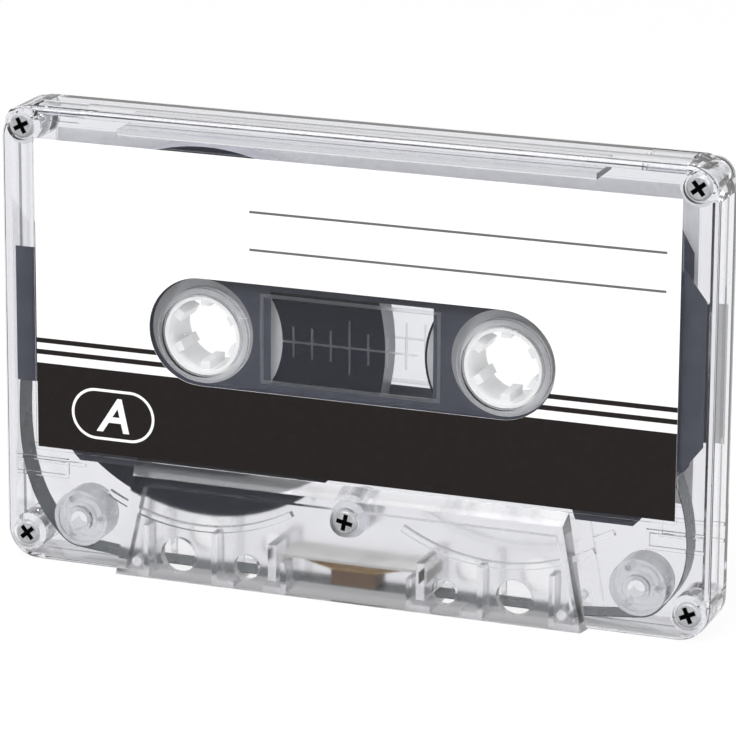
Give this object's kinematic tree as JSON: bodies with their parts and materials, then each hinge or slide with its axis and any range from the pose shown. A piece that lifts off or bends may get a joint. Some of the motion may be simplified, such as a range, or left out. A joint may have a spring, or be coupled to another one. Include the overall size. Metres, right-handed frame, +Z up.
{
  "type": "audio cassette",
  "caption": "Compact audio cassette in a clear shell, standing on its tape edge, with a full tape pack on the left hub, guide rollers, pressure pad, screws and paper labels.",
  "frame": {"origin": "middle of the cassette's tape edge, half way through its thickness, on the surface that it stands on", "axes": "+X along the cassette to the right as seen on side A, +Y through the thickness from side A to side B, +Z up from the tape edge to the top edge"},
  "size_m": [0.1004, 0.012, 0.0638],
  "materials": {
    "shell": "clear moulded polystyrene",
    "label": "satin printed paper, black with a white upper field",
    "liner": "smoke grey slip sheet",
    "hub": "translucent moulded plastic",
    "tape": "dark magnetic coating",
    "roller": "white moulded plastic",
    "spring": "phosphor bronze leaf",
    "felt": "brown felt",
    "shield": "dull magnetic shield plate",
    "screw": "nickel plated steel"
  },
  "bodies": {
    "shell": {"front_shell": "shell", "back_shell": "shell", "front_label": "label", "back_label": "label", "front_liner": "liner", "back_liner": "liner", "tape_run": "tape", "pad_spring": "spring", "felt_pad": "felt", "shield_plate": "shield", "screw_top_left": "screw", "screw_top_right": "screw", "screw_bottom_left": "screw", "screw_bottom_right": "screw", "screw_middle": "screw"},
    "left_reel": {"left_hub": "hub", "left_hub_clamp": "hub", "tape_pack": "tape"},
    "right_reel": {"right_hub": "hub", "right_hub_clamp": "hub", "leader_turns": "tape"},
    "left_guide": {"left_roller": "roller"},
    "right_guide": {"right_roller": "roller"}
  },
  "joints": [
    {"name": "left_reel_spin", "type": "hinge", "parent": "shell", "child": "left_reel", "pos_m": [-0.02125, 0, 0.0343], "axis": [0, 1, 0], "continuous": true},
    {"name": "right_reel_spin", "type": "hinge", "parent": "shell", "child": "right_reel", "pos_m": [0.02125, 0, 0.0343], "axis": [0, 1, 0], "continuous": true},
    {"name": "left_roller_spin", "type": "hinge", "parent": "shell", "child": "left_guide", "pos_m": [-0.0399, 0, 0.0061], "axis": [0, 1, 0], "continuous": true},
    {"name": "right_roller_spin", "type": "hinge", "parent": "shell", "child": "right_guide", "pos_m": [0.0399, 0, 0.0061], "axis": [0, 1, 0], "continuous": true}
  ],
  "couplings": [
    {"joint": "right_reel_spin", "follows": "left_reel_spin", "ratio": 2.2555},
    {"joint": "left_roller_spin", "follows": "left_reel_spin", "ratio": 6.5641},
    {"joint": "right_roller_spin", "follows": "left_reel_spin", "ratio": 6.5641}
  ]
}
